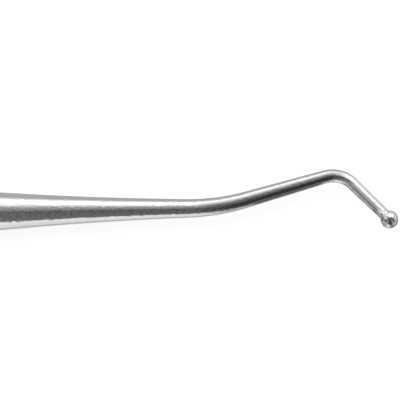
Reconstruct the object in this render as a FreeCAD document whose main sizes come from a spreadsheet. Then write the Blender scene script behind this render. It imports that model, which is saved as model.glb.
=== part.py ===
import FreeCAD, Part
import os
import Sketcher
from math import cos, pi, radians, sin, sqrt, tan

# Ball burnisher, turned and bent from one octagonal bar of stainless steel, at its real size in mm.
# X is the handle's axis, from the origin in the middle of the butt face towards the ball.
# The tool lies on one flat of its handle, so its bends' plane is level: it is the XY plane.

DIMENSIONS = (
    # the handle, an octagonal bar whose butt end is turned to a blunt cone
    ("handle_across", 6.0, "across the handle's flats"),
    ("flat_count", 8, "flats round the handle"),
    ("corner_trim", 0.05, "how far the corners between the flats are turned down"),
    ("handle_len", 100.0, "from the butt face to where the middles of the flats run out"),
    ("butt_d", 4.4, "across the round butt face"),
    ("butt_slope", 45.0, "degrees that the cone round the butt face spreads from the axis"),
    # the long hollow taper, turned from the handle down to the shank
    ("taper_len", 30.4, "from the end of the flats to the first bend"),
    ("taper_hollow", 359.0, "radius of the taper's hollow side"),
    # the shank's centre line: first bend, arm, hook, leg
    ("bend_radius", 23.3, "radius of the first bend"),
    ("bend_turn", 15.24, "degrees that the first bend turns the shank off the axis"),
    ("arm_len", 8.5, "straight arm between the bends"),
    ("hook_radius", 3.0, "radius of the hook"),
    ("hook_turn", 60.3, "degrees that the hook turns the shank back"),
    ("leg_len", 5.3, "from the hook to the ball's centre"),
    # the shank's thickness, which falls all the way to the ball
    ("bend_start_d", 1.97, "where the first bend starts"),
    ("arm_start_d", 1.73, "where the arm starts"),
    ("hook_start_d", 1.42, "where the hook starts"),
    ("leg_start_d", 1.32, "where the leg starts"),
    ("neck_d", 1.2, "at the ball"),
    # the working end
    ("ball_d", 1.9, "across the ball"),
    ("neck_round", 0.3, "radius of the hollow where the leg meets the ball"),
)

doc = FreeCAD.newDocument("burnisher")
sheet = doc.addObject("Spreadsheet::Sheet", "dims")
for row, (alias, number, meaning) in enumerate(DIMENSIONS, start=1):
    sheet.set(f"A{row}", str(number))
    sheet.setAlias(f"A{row}", alias)
    sheet.set(f"B{row}", meaning)
doc.recompute()

# The radius over the handle's corners, which stay narrow round lands between the flats
CORNER_R = "(dims.handle_across / 2 / cos(180deg / dims.flat_count) - dims.corner_trim)"

# The centre line's corners as formulas, in the bends' plane
HEADING_ARM = "dims.bend_turn * 1deg"
HEADING_LEG = "(dims.bend_turn - dims.hook_turn) * 1deg"
BEND_X = "dims.handle_len + dims.taper_len"
ARM_X = f"{BEND_X} + dims.bend_radius * sin({HEADING_ARM})"
ARM_Y = f"dims.bend_radius * (1 - cos({HEADING_ARM}))"
HOOK_X = f"{ARM_X} + dims.arm_len * cos({HEADING_ARM})"
HOOK_Y = f"{ARM_Y} + dims.arm_len * sin({HEADING_ARM})"
LEG_X = f"{HOOK_X} + dims.hook_radius * (sin({HEADING_ARM}) - sin({HEADING_LEG}))"
LEG_Y = f"{HOOK_Y} + dims.hook_radius * (cos({HEADING_LEG}) - cos({HEADING_ARM}))"
BALL_X = f"{LEG_X} + dims.leg_len * cos({HEADING_LEG})"
BALL_Y = f"{LEG_Y} + dims.leg_len * sin({HEADING_LEG})"

body = doc.addObject("PartDesign::Body", "burnisher")
body.Label = "burnisher"
origin = {feature.Role: feature for feature in body.Origin.OriginFeatures}

# The ends of a sketch's line or arc, as its constraints number them. An arc runs anticlockwise.
START, END, CENTRE = range(1, 4)
ORIGIN_POINT = (-1, START)
CLOSE = 0.001  # lengths in mm that differ by less are taken as equal
VOLUME_SLACK = 0.01  # and volumes that differ by less than this share


def point(across, up=0.0):
    return FreeCAD.Vector(across, up, 0)


def new_sketch(name, plane, offset=("0", "0", "0"), turn_axis=FreeCAD.Vector(0, 0, 1), turn="0"):
    """A sketch on one of the body's planes, moved and turned there by formulas."""
    sketch = body.newObject("Sketcher::SketchObject", name)
    sketch.AttachmentSupport = [(origin[plane], "")]
    sketch.MapMode = "FlatFace"
    # a turn of 1 degree keeps the axis until the formula sets the angle
    sketch.AttachmentOffset = FreeCAD.Placement(point(0), FreeCAD.Rotation(turn_axis, 1))
    for field, formula in zip(("Base.x", "Base.y", "Base.z", "Rotation.Angle"), (*offset, turn)):
        sketch.setExpression("AttachmentOffset." + field, formula)
    return sketch


def join(sketch, *pairs):
    """Ends that coincide, each given as line and end."""
    for first, second in pairs:
        sketch.addConstraint(Sketcher.Constraint("Coincident", *first, *second))


def hold(sketch, name, formula, kind, *parts):
    """A named dimension of a sketch, bound to a formula. The last part is its first value."""
    index = sketch.addConstraint(Sketcher.Constraint(kind, *parts))
    sketch.renameConstraint(index, name)
    sketch.setExpression("Constraints." + name, formula)


# The turned bar: the butt's cone, the handle's round blank and its hollow taper.
# The taper's side is one arc. It passes the shoulder, where it is as thin as the flats are apart,
# and runs back from there until it meets the blank.
BUTT, CONE, SIDE, TAPER, CUT, AXIS, SHOULDER = range(7)
butt = point(0, sheet.butt_d / 2)
corner_r = sheet.handle_across / 2 / cos(pi / sheet.flat_count) - sheet.corner_trim
cone_end = point((corner_r - butt.y) / tan(radians(sheet.butt_slope)), corner_r)
shoulder = point(sheet.handle_len, sheet.handle_across / 2)
thin_end = point(sheet.handle_len + sheet.taper_len, sheet.bend_start_d / 2)
half_chord = (thin_end - shoulder) * 0.5
away = half_chord.cross(FreeCAD.Vector(0, 0, -1)).normalize()
taper_centre = shoulder + half_chord + away * sqrt(sheet.taper_hollow**2 - half_chord.Length**2)
taper_top = point(
    taper_centre.x - sqrt(sheet.taper_hollow**2 - (taper_centre.y - corner_r) ** 2), corner_r
)
outline = new_sketch("bar_outline", "XY_Plane")
outline.addGeometry(
    [
        Part.LineSegment(point(0), butt),
        Part.LineSegment(butt, cone_end),
        Part.LineSegment(cone_end, taper_top),
        Part.Arc(taper_top, shoulder, thin_end),
        Part.LineSegment(thin_end, point(thin_end.x)),
        Part.LineSegment(point(thin_end.x), point(0)),
    ]
)
outline.addGeometry(Part.Point(shoulder), True)
join(
    outline,
    ((BUTT, START), ORIGIN_POINT),
    ((BUTT, END), (CONE, START)),
    ((CONE, END), (SIDE, START)),
    ((SIDE, END), (TAPER, START)),
    ((TAPER, END), (CUT, START)),
    ((CUT, END), (AXIS, START)),
    ((AXIS, END), (BUTT, START)),
)
for kind, line in (("Vertical", BUTT), ("Horizontal", SIDE), ("Vertical", CUT), ("Horizontal", AXIS)):
    outline.addConstraint(Sketcher.Constraint(kind, line))
outline.addConstraint(Sketcher.Constraint("PointOnObject", SHOULDER, START, TAPER))
hold(outline, "butt_radius", "dims.butt_d / 2", "DistanceY", BUTT, START, BUTT, END, butt.y)
hold(outline, "butt_slope", "dims.butt_slope * 1deg", "Angle", CONE, radians(sheet.butt_slope))
hold(outline, "corner_radius", CORNER_R, "DistanceY", *ORIGIN_POINT, SIDE, START, corner_r)
hold(outline, "shoulder_x", "dims.handle_len", "DistanceX", *ORIGIN_POINT, SHOULDER, START, shoulder.x)
hold(
    outline, "shoulder_y", "dims.handle_across / 2",
    "DistanceY", *ORIGIN_POINT, SHOULDER, START, shoulder.y,
)
hold(outline, "bar_len", BEND_X, "DistanceX", BUTT, START, CUT, END, thin_end.x)
hold(outline, "thin_radius", "dims.bend_start_d / 2", "DistanceY", CUT, END, CUT, START, thin_end.y)
hold(outline, "taper_hollow", "dims.taper_hollow", "Radius", TAPER, sheet.taper_hollow)
bar = body.newObject("PartDesign::Revolution", "bar")
bar.Profile = outline
bar.ReferenceAxis = (outline, ["H_Axis"])
bar.Angle = 360
doc.recompute()

# The flats: one is cut along the whole bar, as far as the taper is thick enough to be reached,
# and then repeated round the axis. The cutting square stands on the flat and clears the blank.
flat_outline = new_sketch("flat_outline", "YZ_Plane")
half_side = sheet.handle_across / 2
low_left, low_right = point(-half_side, half_side), point(half_side, half_side)
up = point(0, sheet.handle_across)
corners = [low_left, low_right, low_right + up, low_left + up]
flat_outline.addGeometry([Part.LineSegment(*pair) for pair in zip(corners, corners[1:] + corners[:1])])
join(flat_outline, *(((line, END), ((line + 1) % 4, START)) for line in range(4)))
BOTTOM, RIGHT, TOP, _ = range(4)
for line in (BOTTOM, TOP):
    # -2 is the sketch's own upright axis
    flat_outline.addConstraint(Sketcher.Constraint("Symmetric", line, START, line, END, -2))
flat_outline.addConstraint(Sketcher.Constraint("Equal", BOTTOM, RIGHT))
flat_outline.addConstraint(Sketcher.Constraint("Equal", BOTTOM, TOP))
hold(
    flat_outline, "side", "dims.handle_across",
    "DistanceX", BOTTOM, START, BOTTOM, END, sheet.handle_across,
)
hold(
    flat_outline, "height", "dims.handle_across / 2",
    "DistanceY", *ORIGIN_POINT, BOTTOM, START, half_side,
)
flat = body.newObject("PartDesign::Pocket", "flat")
flat.Profile = flat_outline
flat.Reversed = True
flat.setExpression("Length", BEND_X)
doc.recompute()
one_flat = bar.Shape.Volume - flat.Shape.Volume

handle = body.newObject("PartDesign::PolarPattern", "handle")
handle.Originals = [flat]
handle.Axis = (origin["X_Axis"], [""])
handle.Angle = 360
handle.setExpression("Occurrences", "dims.flat_count")
body.Tip = handle
doc.recompute()
all_flats = bar.Shape.Volume - handle.Shape.Volume

# The shank: one sweep along the bent centre line, through a circle at each change of thickness
BEND, ARM, HOOK, LEG = range(4)
heading_arm = radians(sheet.bend_turn)
heading_leg = radians(sheet.bend_turn - sheet.hook_turn)
bend_centre = point(thin_end.x, sheet.bend_radius)
arm_start = bend_centre + point(sin(heading_arm), -cos(heading_arm)) * sheet.bend_radius
hook_start = arm_start + point(cos(heading_arm), sin(heading_arm)) * sheet.arm_len
hook_centre = hook_start + point(sin(heading_arm), -cos(heading_arm)) * sheet.hook_radius
leg_start = hook_centre - point(sin(heading_leg), -cos(heading_leg)) * sheet.hook_radius
ball_centre = leg_start + point(cos(heading_leg), sin(heading_leg)) * sheet.leg_len
bend_circle = Part.Circle(bend_centre, FreeCAD.Vector(0, 0, 1), sheet.bend_radius)
hook_circle = Part.Circle(hook_centre, FreeCAD.Vector(0, 0, 1), sheet.hook_radius)
centre_line = new_sketch("centre_line", "XY_Plane")
centre_line.addGeometry(
    [
        Part.ArcOfCircle(bend_circle, -pi / 2, -pi / 2 + heading_arm),
        Part.LineSegment(arm_start, hook_start),
        Part.ArcOfCircle(hook_circle, pi / 2 + heading_leg, pi / 2 + heading_arm),
        Part.LineSegment(leg_start, ball_centre),
    ]
)
for first, second in (((BEND, END), (ARM, START)), ((ARM, END), (HOOK, END)), ((HOOK, START), (LEG, START))):
    centre_line.addConstraint(Sketcher.Constraint("Tangent", *first, *second))
hold(centre_line, "bend_x", BEND_X, "DistanceX", *ORIGIN_POINT, BEND, START, thin_end.x)
centre_line.addConstraint(Sketcher.Constraint("PointOnObject", BEND, START, -1))
centre_line.addConstraint(Sketcher.Constraint("Vertical", BEND, START, BEND, CENTRE))
hold(centre_line, "bend_radius", "dims.bend_radius", "Radius", BEND, sheet.bend_radius)
hold(centre_line, "arm_heading", HEADING_ARM, "Angle", ARM, heading_arm)
hold(centre_line, "arm_len", "dims.arm_len", "Distance", ARM, sheet.arm_len)
hold(centre_line, "hook_radius", "dims.hook_radius", "Radius", HOOK, sheet.hook_radius)
hold(centre_line, "leg_heading", HEADING_LEG, "Angle", LEG, heading_leg)
hold(centre_line, "leg_len", "dims.leg_len", "Distance", LEG, sheet.leg_len)

sections = []
for alias, x, y, heading in (
    ("bend_start_d", BEND_X, "0", "0"),
    ("arm_start_d", ARM_X, ARM_Y, HEADING_ARM),
    ("hook_start_d", HOOK_X, HOOK_Y, HEADING_ARM),
    ("leg_start_d", LEG_X, LEG_Y, HEADING_LEG),
    ("neck_d", BALL_X, BALL_Y, HEADING_LEG),
):
    # on this plane the sketch's own upright axis is the body's Z, so a turn about it heads the circle
    section = new_sketch("circle_" + alias[:-2], "YZ_Plane", (y, "0", x), FreeCAD.Vector(0, 1, 0), heading)
    diameter = sheet.get(alias)
    section.addGeometry(Part.Circle(point(0), FreeCAD.Vector(0, 0, 1), diameter / 2))
    section.addConstraint(Sketcher.Constraint("Coincident", 0, CENTRE, *ORIGIN_POINT))
    hold(section, "across", "dims." + alias, "Diameter", 0, diameter)
    sections.append(section)
shank = body.newObject("PartDesign::AdditivePipe", "shank")
shank.Profile = sections[0]
shank.Spine = (centre_line, ["Edge1", "Edge2", "Edge3", "Edge4"])
shank.Transformation = "Multisection"
shank.Sections = sections[1:]
doc.recompute()

# The ball, turned about the leg's own axis
ball_outline = new_sketch("ball_outline", "XY_Plane", (BALL_X, BALL_Y, "0"), turn=HEADING_LEG)
ball_r = sheet.ball_d / 2
ball_circle = Part.Circle(point(0), FreeCAD.Vector(0, 0, 1), ball_r)
ball_outline.addGeometry(
    [Part.ArcOfCircle(ball_circle, 0, pi), Part.LineSegment(point(-ball_r), point(ball_r))]
)
join(ball_outline, ((0, END), (1, START)), ((1, END), (0, START)), ((0, CENTRE), ORIGIN_POINT))
ball_outline.addConstraint(Sketcher.Constraint("PointOnObject", 1, START, -1))
ball_outline.addConstraint(Sketcher.Constraint("PointOnObject", 1, END, -1))
hold(ball_outline, "across", "dims.ball_d", "Diameter", 0, sheet.ball_d)
ball = body.newObject("PartDesign::Revolution", "ball")
ball.Profile = ball_outline
ball.ReferenceAxis = (ball_outline, ["H_Axis"])
ball.Angle = 360
doc.recompute()

# The hollow where the leg runs into the ball: a fillet on the line that lies all on the ball
ball_at = ball_outline.Placement.Base


def meets_ball(edge):
    if edge.Degenerated or isinstance(edge.Curve, Part.Circle):
        return False
    return all(abs(spot.distanceToPoint(ball_at) - ball_r) < CLOSE for spot in edge.discretize(9))


rims = [f"Edge{number}" for number, edge in enumerate(ball.Shape.Edges, start=1) if meets_ball(edge)]
neck = body.newObject("PartDesign::Fillet", "neck")
neck.Base = (ball, rims)
neck.setExpression("Radius", "dims.neck_round")
doc.recompute()

for item in doc.Objects:
    if {"Invalid", "Error"} & set(item.State):
        raise RuntimeError(f"{item.Label} failed: {item.State}")
if one_flat <= 0 or abs(all_flats / (sheet.flat_count * one_flat) - 1) > VOLUME_SLACK:
    raise RuntimeError("the flats don't all cut the bar")
shape = body.Shape
if shape.isNull() or not shape.isValid() or len(shape.Solids) != 1:
    raise RuntimeError("the burnisher isn't one sound solid")

os.makedirs("parts", exist_ok=True)
shape.exportStep("parts/burnisher.step")
box = shape.optimalBoundingBox(True, False)
print(f"burnisher: {shape.Volume:.1f} mm3, {len(shape.Faces)} faces")
print(f"from {box.XMin:.3f} {box.YMin:.3f} {box.ZMin:.3f} to {box.XMax:.3f} {box.YMax:.3f} {box.ZMax:.3f}")
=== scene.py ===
from math import atan, cos, hypot, pi, radians, sin, sqrt, tan

import bpy
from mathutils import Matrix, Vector


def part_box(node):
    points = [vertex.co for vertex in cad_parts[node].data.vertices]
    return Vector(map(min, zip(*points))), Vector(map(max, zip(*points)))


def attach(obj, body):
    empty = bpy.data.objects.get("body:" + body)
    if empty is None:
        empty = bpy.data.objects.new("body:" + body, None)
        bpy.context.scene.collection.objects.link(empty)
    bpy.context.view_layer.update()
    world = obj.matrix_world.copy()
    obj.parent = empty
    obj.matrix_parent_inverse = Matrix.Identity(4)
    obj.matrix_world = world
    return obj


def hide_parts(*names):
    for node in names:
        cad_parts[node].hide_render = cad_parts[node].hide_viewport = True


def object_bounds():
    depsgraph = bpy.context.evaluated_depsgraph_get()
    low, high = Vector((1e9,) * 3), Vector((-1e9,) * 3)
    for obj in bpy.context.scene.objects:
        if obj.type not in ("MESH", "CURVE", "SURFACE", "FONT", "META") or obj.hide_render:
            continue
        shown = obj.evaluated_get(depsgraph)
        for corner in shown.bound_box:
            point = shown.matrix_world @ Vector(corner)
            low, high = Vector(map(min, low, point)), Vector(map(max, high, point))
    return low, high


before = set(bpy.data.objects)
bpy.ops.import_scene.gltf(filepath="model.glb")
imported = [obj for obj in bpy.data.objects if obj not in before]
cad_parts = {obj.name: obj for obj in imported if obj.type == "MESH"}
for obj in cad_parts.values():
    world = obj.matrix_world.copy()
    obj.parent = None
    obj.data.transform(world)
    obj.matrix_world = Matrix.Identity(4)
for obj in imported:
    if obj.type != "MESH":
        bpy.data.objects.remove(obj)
cad_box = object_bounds()

# The burnisher's bar: stainless steel, round stock of just over 6 mm with eight flats milled along
# the handle. The butt is turned to a blunt cone, and the front to a long taper with a hollow side,
# which runs out through the flats in eight scallops. All sizes are in metres.
FLAT_COUNT, FLAT_R = 8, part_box("burnisher")[1].z
CORNER_TRIM = 0.00005
BUTT_R, BUTT_SLOPE = 0.0022, radians(45)
HANDLE_LEN = 0.1
TAPER_LEN, TAPER_HOLLOW, TAPER_RINGS = 0.0304, 0.359, 36
BEND_START_R = 0.000985
ROUND_STEPS = 160
SHARP = radians(4)
TINY = 0.000001

corner_r = FLAT_R / cos(pi / FLAT_COUNT) - CORNER_TRIM
bend_x = HANDLE_LEN + TAPER_LEN
shoulder, thin_end = Vector((HANDLE_LEN, 0, FLAT_R)), Vector((bend_x, 0, BEND_START_R))
half_chord = (thin_end - shoulder) / 2
outward = Vector((-half_chord.z, 0, half_chord.x)).normalized()
hollow_centre = shoulder + half_chord + outward * sqrt(TAPER_HOLLOW**2 - half_chord.length_squared)


def hollow_point(x):
    """The point of the taper's hollow side at x."""
    return Vector((x, 0, hollow_centre.z - sqrt(TAPER_HOLLOW**2 - (x - hollow_centre.x) ** 2)))


taper_x = hollow_centre.x - sqrt(TAPER_HOLLOW**2 - (hollow_centre.z - corner_r) ** 2)
profile = [
    Vector((0, 0, 0)),
    Vector((0, 0, BUTT_R)),
    Vector(((corner_r - BUTT_R) / tan(BUTT_SLOPE), 0, corner_r)),
]
for ring in range(TAPER_RINGS + 1):
    profile.append(hollow_point(taper_x + (bend_x - taper_x) * ring / TAPER_RINGS))

# A small ring, merged to the one point on the axis that the profile is drawn from
bpy.ops.object.select_all(action="DESELECT")
bpy.ops.mesh.primitive_circle_add(vertices=3, radius=BUTT_R)
burnisher = bpy.context.object
burnisher.name = "steel_burnisher"
bpy.ops.object.mode_set(mode="EDIT")
bpy.ops.mesh.select_mode(type="VERT")
bpy.ops.mesh.merge(type="CENTER")
for here, there in zip(profile, profile[1:]):
    bpy.ops.mesh.extrude_region_move(TRANSFORM_OT_translate={"value": there - here})
bpy.ops.mesh.select_all(action="SELECT")
bpy.ops.mesh.spin(steps=ROUND_STEPS, angle=2 * pi, center=(0, 0, 0), axis=(1, 0, 0))
bpy.ops.mesh.select_all(action="SELECT")
bpy.ops.mesh.remove_doubles(threshold=TINY)
for number in range(FLAT_COUNT):
    angle = 2 * pi * number / FLAT_COUNT
    facing = Vector((0, sin(angle), cos(angle)))
    bpy.ops.mesh.select_all(action="SELECT")
    bpy.ops.mesh.bisect(
        plane_co=facing * FLAT_R, plane_no=facing, use_fill=True, clear_outer=True, threshold=TINY
    )
bpy.ops.mesh.select_mode(type="EDGE")
bpy.ops.mesh.select_all(action="DESELECT")
bpy.ops.mesh.edges_select_sharp(sharpness=SHARP)
bpy.ops.mesh.mark_sharp()

# The shank and the ball: the bar's thin end, bent cold through a long curve and a tight hook, and
# a ball turned on its tip, with a small hollow where the leg runs into it.
ARM_START_R, HOOK_START_R, LEG_START_R, NECK_R = 0.000865, 0.00071, 0.00066, 0.0006
BEND_RADIUS, BEND_TURN, BEND_RINGS = 0.0233, radians(15.24), 24
ARM_LEN, ARM_RINGS = 0.0085, 12
HOOK_RADIUS, HOOK_TURN, HOOK_RINGS = 0.003, radians(60.3), 40
LEG_LEN, LEG_RINGS = 0.0053, 8
BALL_R, BALL_RINGS = 0.00095, 56
NECK_ROUND, NECK_RINGS = 0.0003, 20


def along(heading):
    """The direction of a heading, an angle off the handle's axis in the bends' plane."""
    return Vector((cos(heading), sin(heading), 0))


class Bar:
    """The bar as it is drawn on: the place, the heading and the radius of its last ring."""

    def __init__(self, at, radius):
        self.at, self.heading, self.radius = at, 0.0, radius

    def ring(self, at, heading, radius):
        """Draws the selected ring on to a new place."""
        bpy.ops.mesh.extrude_region_move(TRANSFORM_OT_translate={"value": at - self.at})
        if heading != self.heading:
            # with no window this operator turns clockwise
            turn = self.heading - heading
            bpy.ops.transform.rotate(value=turn, orient_axis="Z", center_override=at)
        bpy.ops.transform.resize(value=(radius / self.radius,) * 3, center_override=at)
        self.at, self.heading, self.radius = at, heading, radius

    def bend(self, bend_radius, turn, end_r, rings):
        """A bend of this radius, to the left where the turn is positive."""
        side = 1 if turn > 0 else -1
        start_at, start, start_r = self.at, self.heading, self.radius
        centre = start_at + along(start + side * pi / 2) * bend_radius
        for number in range(1, rings + 1):
            heading = start + turn * number / rings
            at = centre + along(heading - side * pi / 2) * bend_radius
            self.ring(at, heading, start_r + (end_r - start_r) * number / rings)

    def straight(self, length, end_r, rings):
        """A straight run, thinning evenly."""
        start_at, start_r = self.at, self.radius
        for number in range(1, rings + 1):
            at = start_at + along(self.heading) * length * number / rings
            self.ring(at, self.heading, start_r + (end_r - start_r) * number / rings)

    def turned(self, centre, outline):
        """Rings about the bar's own line, from pairs of a distance past the centre and a radius."""
        for distance, radius in outline:
            self.ring(centre + along(self.heading) * distance, self.heading, radius)


bpy.ops.mesh.select_mode(type="VERT")
bpy.ops.mesh.select_all(action="DESELECT")
bpy.ops.object.mode_set(mode="OBJECT")
for spot in burnisher.data.vertices:
    spot.select = spot.co.x > bend_x - TINY
bpy.ops.object.mode_set(mode="EDIT")
bar = Bar(Vector((bend_x, 0, 0)), BEND_START_R)
bar.bend(BEND_RADIUS, BEND_TURN, ARM_START_R, BEND_RINGS)
bar.straight(ARM_LEN, HOOK_START_R, ARM_RINGS)
bar.bend(HOOK_RADIUS, -HOOK_TURN, LEG_START_R, HOOK_RINGS)
ball_centre = bar.at + along(bar.heading) * LEG_LEN

# The neck's hollow is an arc that touches the leg's side and the ball
leg_slope = (LEG_START_R - NECK_R) / LEG_LEN
offset_r = NECK_R + NECK_ROUND * hypot(1, leg_slope)
reach = BALL_R + NECK_ROUND
squares = 1 + leg_slope**2
neck_x = (offset_r * leg_slope - sqrt(squares * reach**2 - offset_r**2)) / squares
neck_r = offset_r - leg_slope * neck_x
neck_start, neck_end = -pi / 2 - atan(leg_slope), -atan(neck_r / -neck_x)
neck = []
for number in range(NECK_RINGS + 1):
    angle = neck_start + (neck_end - neck_start) * number / NECK_RINGS
    neck.append((neck_x + NECK_ROUND * cos(angle), neck_r + NECK_ROUND * sin(angle)))
ball_start = pi + neck_end
ball = []
for number in range(1, BALL_RINGS):
    angle = ball_start * (1 - number / BALL_RINGS)
    ball.append((BALL_R * cos(angle), BALL_R * sin(angle)))
bar.straight(LEG_LEN + neck[0][0], neck[0][1], LEG_RINGS)
bar.turned(ball_centre, neck[1:] + ball)
bpy.ops.mesh.extrude_region_move(
    TRANSFORM_OT_translate={"value": ball_centre + along(bar.heading) * BALL_R - bar.at}
)
bpy.ops.mesh.merge(type="CENTER")
bpy.ops.mesh.select_all(action="SELECT")
bpy.ops.mesh.normals_make_consistent(inside=False)
bpy.ops.object.mode_set(mode="OBJECT")
bpy.ops.object.shade_smooth()

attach(burnisher, "root")
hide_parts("burnisher")


class Wire:
    """A number, colour or vector that varies over a surface. Maths written on it adds nodes."""

    def __init__(self, tree, socket):
        self.tree, self.socket = tree, socket

    def node(self, kind, settings, inputs, output=0):
        """Adds a node of this kind: its settings first, then its inputs, by name or number."""
        made = self.tree.nodes.new("ShaderNode" + kind)
        for name, value in settings.items():
            setattr(made, name, value)
        for name, value in inputs.items():
            if isinstance(value, Wire):
                self.tree.links.new(value.socket, made.inputs[name])
            else:
                made.inputs[name].default_value = value
        return Wire(self.tree, made.outputs[output])

    def maths(self, operation, *values):
        return self.node("Math", {"operation": operation}, dict(enumerate(values)))

    def __add__(self, other):
        return self.maths("ADD", self, other)

    __radd__ = __add__

    def __rsub__(self, other):
        return self.maths("SUBTRACT", other, self)

    def __mul__(self, other):
        return self.maths("MULTIPLY", self, other)

    __rmul__ = __mul__

    def step(self, low, high):
        """0 up to low, 1 from high on, and smooth between them."""
        settings = {"interpolation_type": "SMOOTHSTEP"}
        return self.node("MapRange", settings, {"Value": self, "From Min": low, "From Max": high})


def new_material(name):
    """A material with no nodes but its output, and a wire to write on."""
    material = bpy.data.materials.new(name)
    material.use_nodes = True
    material.node_tree.nodes.clear()
    output = material.node_tree.nodes.new("ShaderNodeOutputMaterial")
    return material, Wire(material.node_tree, output.inputs["Surface"])


# Its steel is ground along the handle's flats, has a fine mottle and faint turning marks on the
# taper and the shank, and is polished bright on the ball.
DARK_STEEL, PALE_STEEL = (0.60, 0.60, 0.61, 1), (0.66, 0.66, 0.665, 1)
GRINDING_RUN = 0.0001
MARK_HEIGHT = 0.00005
MOTTLE_SHARE, TURNING_SHARE, STROKE_SHARE = 0.7, 0.1, 0.05
SHANK_POLISH = 0.25
BALL_ROUGH = 0.03
BAR_ROUGH, PATCH_ROUGH = 0.07, 0.05
FLAT_ROUGH, STROKE_ROUGH = 0.08, 0.06

steel, surface = new_material("polished_steel")
place = surface.node("TexCoord", {}, {}, "Object")
x = surface.node("SeparateXYZ", {}, {"Vector": place})


def grain(lengthwise, crosswise, detail):
    """Noise of this length along the handle's axis and this length in the other directions."""
    scale = (1 / lengthwise, 1 / crosswise, 1 / crosswise)
    stretched = surface.node("VectorMath", {"operation": "MULTIPLY"}, {0: place, 1: scale})
    return surface.node("TexNoise", {}, {"Vector": stretched, "Scale": 1.0, "Detail": detail})


from_ball = {0: place, 1: ball_centre}
to_ball = surface.node("VectorMath", {"operation": "DISTANCE"}, from_ball, "Value")
off_ball = to_ball.step(BALL_R, BALL_R + NECK_ROUND)
off_flats = x.step(taper_x - GRINDING_RUN, shoulder.x)

mottle = grain(0.0004, 0.0003, 4.0)
turning_marks = grain(0.00007, 0.002, 2.0)
strokes = grain(0.004, 0.00006, 3.0)
mark_depth = off_flats * off_ball * (1 - SHANK_POLISH * x.step(shoulder.x, bend_x))
marks = mark_depth * (MOTTLE_SHARE * mottle + TURNING_SHARE * turning_marks)
height = marks + (1 - off_flats) * strokes * STROKE_SHARE
relief = {"Height": height, "Distance": MARK_HEIGHT, "Strength": 1.0}
bump = surface.node("Bump", {}, relief, "Normal")

patches = grain(0.006, 0.004, 3.0)
bar_rough = off_ball * (BAR_ROUGH + PATCH_ROUGH * patches)
handle_rough = (1 - off_flats) * (FLAT_ROUGH + STROKE_ROUGH * strokes)
roughness = BALL_ROUGH + bar_rough + handle_rough
shade = surface.node("Mix", {"data_type": "RGBA"}, {0: patches, 6: DARK_STEEL, 7: PALE_STEEL}, 2)
finish = {"Base Color": shade, "Roughness": roughness, "Metallic": 1.0, "Normal": bump}
metal = surface.node("BsdfPrincipled", {}, finish)
steel.node_tree.links.new(metal.socket, surface.socket)
burnisher.data.materials.append(steel)

# The floor: a plain pale sheet, which the tool lies on with one flat of its handle. It is white
# to the camera and in the steel, and keeps the tool's faint shadow.
FLOOR_SIZE = 6.0
FLOOR_GLOW = 0.69
WHITE, FLOOR_PAINT = (1, 1, 1, 1), (0.8, 0.8, 0.8, 1)
floor_z = cad_box[0].z


def seen_directly(wire):
    """1 for what the camera sees itself, in a reflection or through a clear thing, 0 for the rest."""
    by_camera = wire.node("LightPath", {}, {}, "Is Camera Ray")
    in_gloss = wire.node("LightPath", {}, {}, "Is Glossy Ray")
    through = wire.node("LightPath", {}, {}, "Is Transmission Ray")
    return by_camera + in_gloss + through


bpy.ops.mesh.primitive_plane_add(size=FLOOR_SIZE, location=(0, 0, floor_z))
floor = bpy.context.object
floor.name = "floor"
sheet, surface = new_material("pale_sheet")
strength = seen_directly(surface) * FLOOR_GLOW
glow = surface.node("Emission", {}, {"Color": WHITE, "Strength": strength})
paint = surface.node("BsdfDiffuse", {}, {"Color": FLOOR_PAINT})
both = surface.node("AddShader", {}, {0: glow, 1: paint})
sheet.node_tree.links.new(both.socket, surface.socket)
sheet.cycles.emission_sampling = "NONE"
floor.data.materials.append(sheet)

# The surroundings: an empty white studio. It is white to the camera and in the steel, and gives
# everything else a weaker, even light.
ROOM_LIGHT = 0.35
room = bpy.data.worlds.new("studio")
bpy.context.scene.world = room
room.use_nodes = True
room.node_tree.nodes.clear()
room_output = room.node_tree.nodes.new("ShaderNodeOutputWorld")
air = Wire(room.node_tree, room_output.inputs["Surface"])
level = ROOM_LIGHT + seen_directly(air) * (1 - ROOM_LIGHT)
sky = air.node("Background", {}, {"Color": WHITE, "Strength": level})
room.node_tree.links.new(sky.socket, air.socket)
room.cycles.sampling_method = "NONE"

# The cards: a soft box, and grey, dark and white cards that stand round the tool or lie under it,
# then small cards and nets close to the shank and the ball. Each was placed by measure until the
# steel's bands were like the photo's, and only reflections show them.
VIEW_CENTRE = Vector((0.13166, 0.00085, 0))


def add_card(name, place, turn, size, brightness, feather, cover=1.0):
    """A flat card with soft edges. Feather gives their shares of the card's whole size, at -X, +X
    and both Y ends, in the card's own directions. A net is a card with a cover of less than 1."""
    bpy.ops.mesh.primitive_plane_add(size=1)
    card = bpy.context.object
    card.name = name
    card.location, card.rotation_euler, card.scale = place, turn, (size[0], size[1], 1)
    material, surface = new_material(name)
    spot = surface.node("TexCoord", {}, {}, "Object")
    lengthwise = surface.node("SeparateXYZ", {}, {"Vector": spot}, "X")
    crosswise = surface.node("SeparateXYZ", {}, {"Vector": spot}, "Y")
    mask = (lengthwise + 0.5).step(0, feather[0]) * (0.5 - lengthwise).step(0, feather[1])
    mask = mask * (crosswise + 0.5).step(0, feather[2]) * (0.5 - crosswise).step(0, feather[2])
    glow = surface.node("Emission", {}, {"Color": WHITE, "Strength": brightness})
    clear = surface.node("BsdfTransparent", {}, {})
    mixed = surface.node("MixShader", {}, {0: mask * cover, 1: clear, 2: glow})
    material.node_tree.links.new(mixed.socket, surface.socket)
    material.cycles.emission_sampling = "NONE"
    card.data.materials.append(material)
    card.visible_camera = False
    card.visible_diffuse = False
    card.visible_shadow = False


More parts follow.
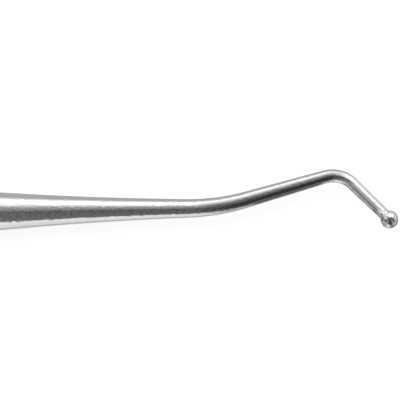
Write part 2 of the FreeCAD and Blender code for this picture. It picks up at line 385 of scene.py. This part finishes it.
def outwards(bearing, tilt):
    """A direction, in degrees: its bearing turns from the picture's right to its top, and its tilt
    leans away from the camera's line."""
    bearing, tilt = radians(bearing), radians(tilt)
    return Vector((sin(tilt) * cos(bearing), sin(tilt) * sin(bearing), cos(tilt)))


def hang_card(
    name, bearing, tilt, distance, size, brightness, feather, aside=0, middle=VIEW_CENTRE, cover=1.0
):
    """A card that faces the middle of the picture, or another place. Its X leads outwards."""
    place = middle + outwards(bearing, tilt) * distance + outwards(bearing + 90, 90) * aside
    add_card(name, place, (0, radians(tilt), radians(bearing)), size, brightness, feather, cover)


def lay_card(name, low, high, lift, brightness, feather):
    """A card that lies on the floor from one corner to the other, lifted by this much."""
    place = ((low[0] + high[0]) / 2, (low[1] + high[1]) / 2, floor_z + lift)
    add_card(name, place, (0, 0, 0), (high[0] - low[0], high[1] - low[1]), brightness, feather)


# Grey walls and a hood, soft lights towards the picture's top, and dark cards at its foot and ends
hang_card("hood", 0, 0, 0.34, (1.6, 1.6), 0.42, (0.15, 0.15, 0.15))
hang_card("left_wall", 202, 82, 0.30, (0.18, 0.62), 0.48, (0.10, 0.10, 0.10))
hang_card("right_wall", 335, 80, 0.30, (0.16, 0.34), 0.48, (0.10, 0.10, 0.10))
hang_card("soft_box", 88, 51, 0.28, (0.35, 0.70), 1.8, (0.55, 0.10, 0.12))
hang_card("side_light", 45, 38, 0.285, (0.24, 0.20), 1.8, (0.40, 0.20, 0.40))
hang_card("dark_foot", 267, 60, 0.245, (0.10, 0.16), 0.20, (0.15, 0.10, 0.20))
hang_card("dark_bar", 277, 33.5, 0.25, (0.44, 0.095), 0.20, (0.10, 0.04, 0.07), -0.012)
hang_card("dark_core", 290, 43, 0.24, (0.36, 0.13), 0.04, (0.10, 0.16, 0.20), 0.018)
hang_card("dark_line", 270, 11.5, 0.24, (0.036, 0.10), 0.08, (0.35, 0.35, 0.15))
hang_card("left_dark", 205, 49, 0.24, (0.14, 0.12), 0.10, (0.30, 0.30, 0.30))
hang_card("right_dark", 342, 58, 0.235, (0.13, 0.11), 0.07, (0.30, 0.30, 0.30))
hang_card("low_dark", 294, 84, 0.24, (0.20, 0.13), 0.12, (0.20, 0.05, 0.10))
hang_card("low_light", 264, 84, 0.22, (0.09, 0.09), 1.25, (0.15, 0.10, 0.10))

# Cards on the floor, for the tool's lower sides. The dark strip leads away below the arm
STRIP_START = Vector((0.1409, 0.004, floor_z + 0.0003))
STRIP_TURN, STRIP_MIDDLE = radians(286), 0.038
lay_card("under_card", (-0.08, -0.05), (0.24, 0.12), 0.0001, 0.60, (0.20, 0.20, 0.15))
lay_card("corner_light", (0.150, 0.003), (0.21, 0.06), 0.0002, 0.95, (0.05, 0.10, 0.06))
lay_card("light_strip", (0.05, -0.06), (0.137, -0.0035), 0.0002, 1.08, (0.10, 0.04, 0.10))
strip_place = STRIP_START + along(STRIP_TURN) * STRIP_MIDDLE
add_card("dark_strip", strip_place, (0, 0, STRIP_TURN), (0.065, 0.0102), 0.14, (0.04, 0.10, 0.20))
lay_card("ball_light", (0.1472, -0.05), (0.152, -0.0055), 0.0004, 1.1, (0.10, 0.10, 0.05))
lay_card("corner_dark", (0.152, -0.0055), (0.156, -0.0012), 0.0004, 0.12, (0.15, 0.15, 0.15))
lay_card("rim_light", (0.1455, -0.0055), (0.150, -0.0005), 0.0004, 0.72, (0.15, 0.15, 0.15))
lay_card("foot_dark", (0.152, -0.015), (0.158, -0.006), 0.0004, 0.05, (0.15, 0.15, 0.15))


def up_the_leg(distance):
    """The place on the leg's centre line at this distance from the ball's centre."""
    return ball_centre - along(bar.heading) * distance


def shank_card(name, middle, bearing, tilt, distance, size, brightness, feather, cover=1.0):
    """A small card that faces this place on the shank."""
    hang_card(name, bearing, tilt, distance, size, brightness, feather, 0, middle, cover)


# Nets that dim the highlight of the bend and the hook, a grey card below the arm, a light one in
# the hook's hollow, and a light and a dark one over the leg
NET_COVER = 0.35
bend_end, arm_middle = Vector((0.14, 0.0018, 0)), Vector((0.14085, 0.002, 0))
crest, hook_end = Vector((0.1462, 0.00305, 0)), Vector((0.14643, 0.00302, 0))
leg_middle, lower_leg = up_the_leg(0.0033), up_the_leg(0.003)
shank_card("shank_net", bend_end, 102, 22, 0.007, (0.014, 0.0172), 0, (0.20, 0.25, 0.12), NET_COVER)
shank_card("hook_net", crest, 78, 35, 0.004, (0.008, 0.0044), 0, (0.20, 0.20, 0.40), NET_COVER)
shank_card("arm_grey", arm_middle, 285, 78, 0.0025, (0.0027, 0.0086), 0.17, (0.30, 0.15, 0.10))
shank_card("hook_light", hook_end, 252, 92, 0.0017, (0.0014, 0.0007), 1.0, (0.20, 0.20, 0.30))
shank_card("leg_light", lower_leg, 225, 12, 0.0035, (0.0039, 0.0052), 0.64, (0.10, 0.70, 0.12))
shank_card("leg_dark", leg_middle, 225, 48, 0.0030, (0.0022, 0.0046), 0.20, (0.50, 0.50, 0.15))


def ball_card(name, bearing, tilt, distance, size, brightness, feather):
    """A small card that the ball shows where its side looks half as far away."""
    middle = ball_centre + outwards(bearing, tilt / 2) * BALL_R
    hang_card(name, bearing, tilt, distance, size, brightness, feather, 0, middle)


def level_card(name, past_ball, turn, size, brightness, feather, cover=1.0):
    """A small level card over the ball."""
    add_card(name, ball_centre + Vector(past_ball), (0, 0, turn), size, brightness, feather, cover)


# A light on the neck, small spots for the ball's sides, and the dark cross in the ball's middle
CROSS_TURN, BAR_COVER = radians(8), 0.6
shank_card("neck_light", up_the_leg(0.0008), 45, 2, 0.0025, (0.0025, 0.0009), 1.5, (0.15, 0.15, 0.30))
ball_card("left_spot", 156, 60, 0.001, (0.0010, 0.0012), 1.0, (0.25, 0.25, 0.25))
ball_card("right_spot", 306, 62, 0.001, (0.0005, 0.0005), 0.40, (0.25, 0.25, 0.25))
ball_card("neck_dark", 184, 104, 0.00165, (0.0012, 0.0010), 0.08, (0.25, 0.25, 0.25))
level_card("ball_flag", (0, -0.0035, 0.004), 0, (0.0028, 0.009), 0.10, (0.20, 0.20, 0.10))
cap_place, bar_place = (0.0001, 0.0003, 0.0015), (0.00045, -0.00015, 0.002)
level_card("ball_cap", cap_place, CROSS_TURN, (0.0016, 0.0006), 0.20, (0.15, 0.20, 0.20))
level_card(
    "ball_bar", bar_place, CROSS_TURN, (0.0051, 0.0011), 0.16, (0.10, 0.10, 0.20), BAR_COVER
)

# The lamp: one large soft lamp, above and towards the picture's top. It lights the floor and
# gives the tool its shadow, and the steel doesn't show it.
LAMP_PLACE, LAMP_SIZE, LAMP_POWER = (0.13, 0.25, 0.45), (0.5, 0.3), 0.6
bpy.ops.object.light_add(type="AREA", location=LAMP_PLACE)
lamp = bpy.context.object
lamp.name = "overhead_lamp"
lamp.data.shape, lamp.data.energy = "RECTANGLE", LAMP_POWER
lamp.data.size, lamp.data.size_y = LAMP_SIZE
lamp.rotation_euler = (VIEW_CENTRE - lamp.location).to_track_quat("-Z", "Y").to_euler()
lamp.visible_camera = False
lamp.visible_glossy = False

# The camera: a long lens that looks straight down on the lying tool. It is turned a little, as
# the handle's axis is in the photo, and lengths are in metres but for the lens, in millimetres.
PICTURE_WIDTH, CAMERA_ROLL = 0.04175, radians(0.885)
LENS, SENSOR = 200.0, 36.0
NEAREST, FARTHEST = 0.01, 10.0
camera_data = bpy.data.cameras.new("camera")
camera = bpy.data.objects.new("camera", camera_data)
bpy.context.scene.collection.objects.link(camera)
camera_data.lens, camera_data.sensor_width = LENS, SENSOR
camera_data.clip_start, camera_data.clip_end = NEAREST, FARTHEST
camera.location = VIEW_CENTRE + Vector((0, 0, PICTURE_WIDTH * LENS / SENSOR))
camera.rotation_euler = (0, 0, -CAMERA_ROLL)
bpy.context.scene.camera = camera
bpy.context.scene.view_settings.view_transform = "Standard"
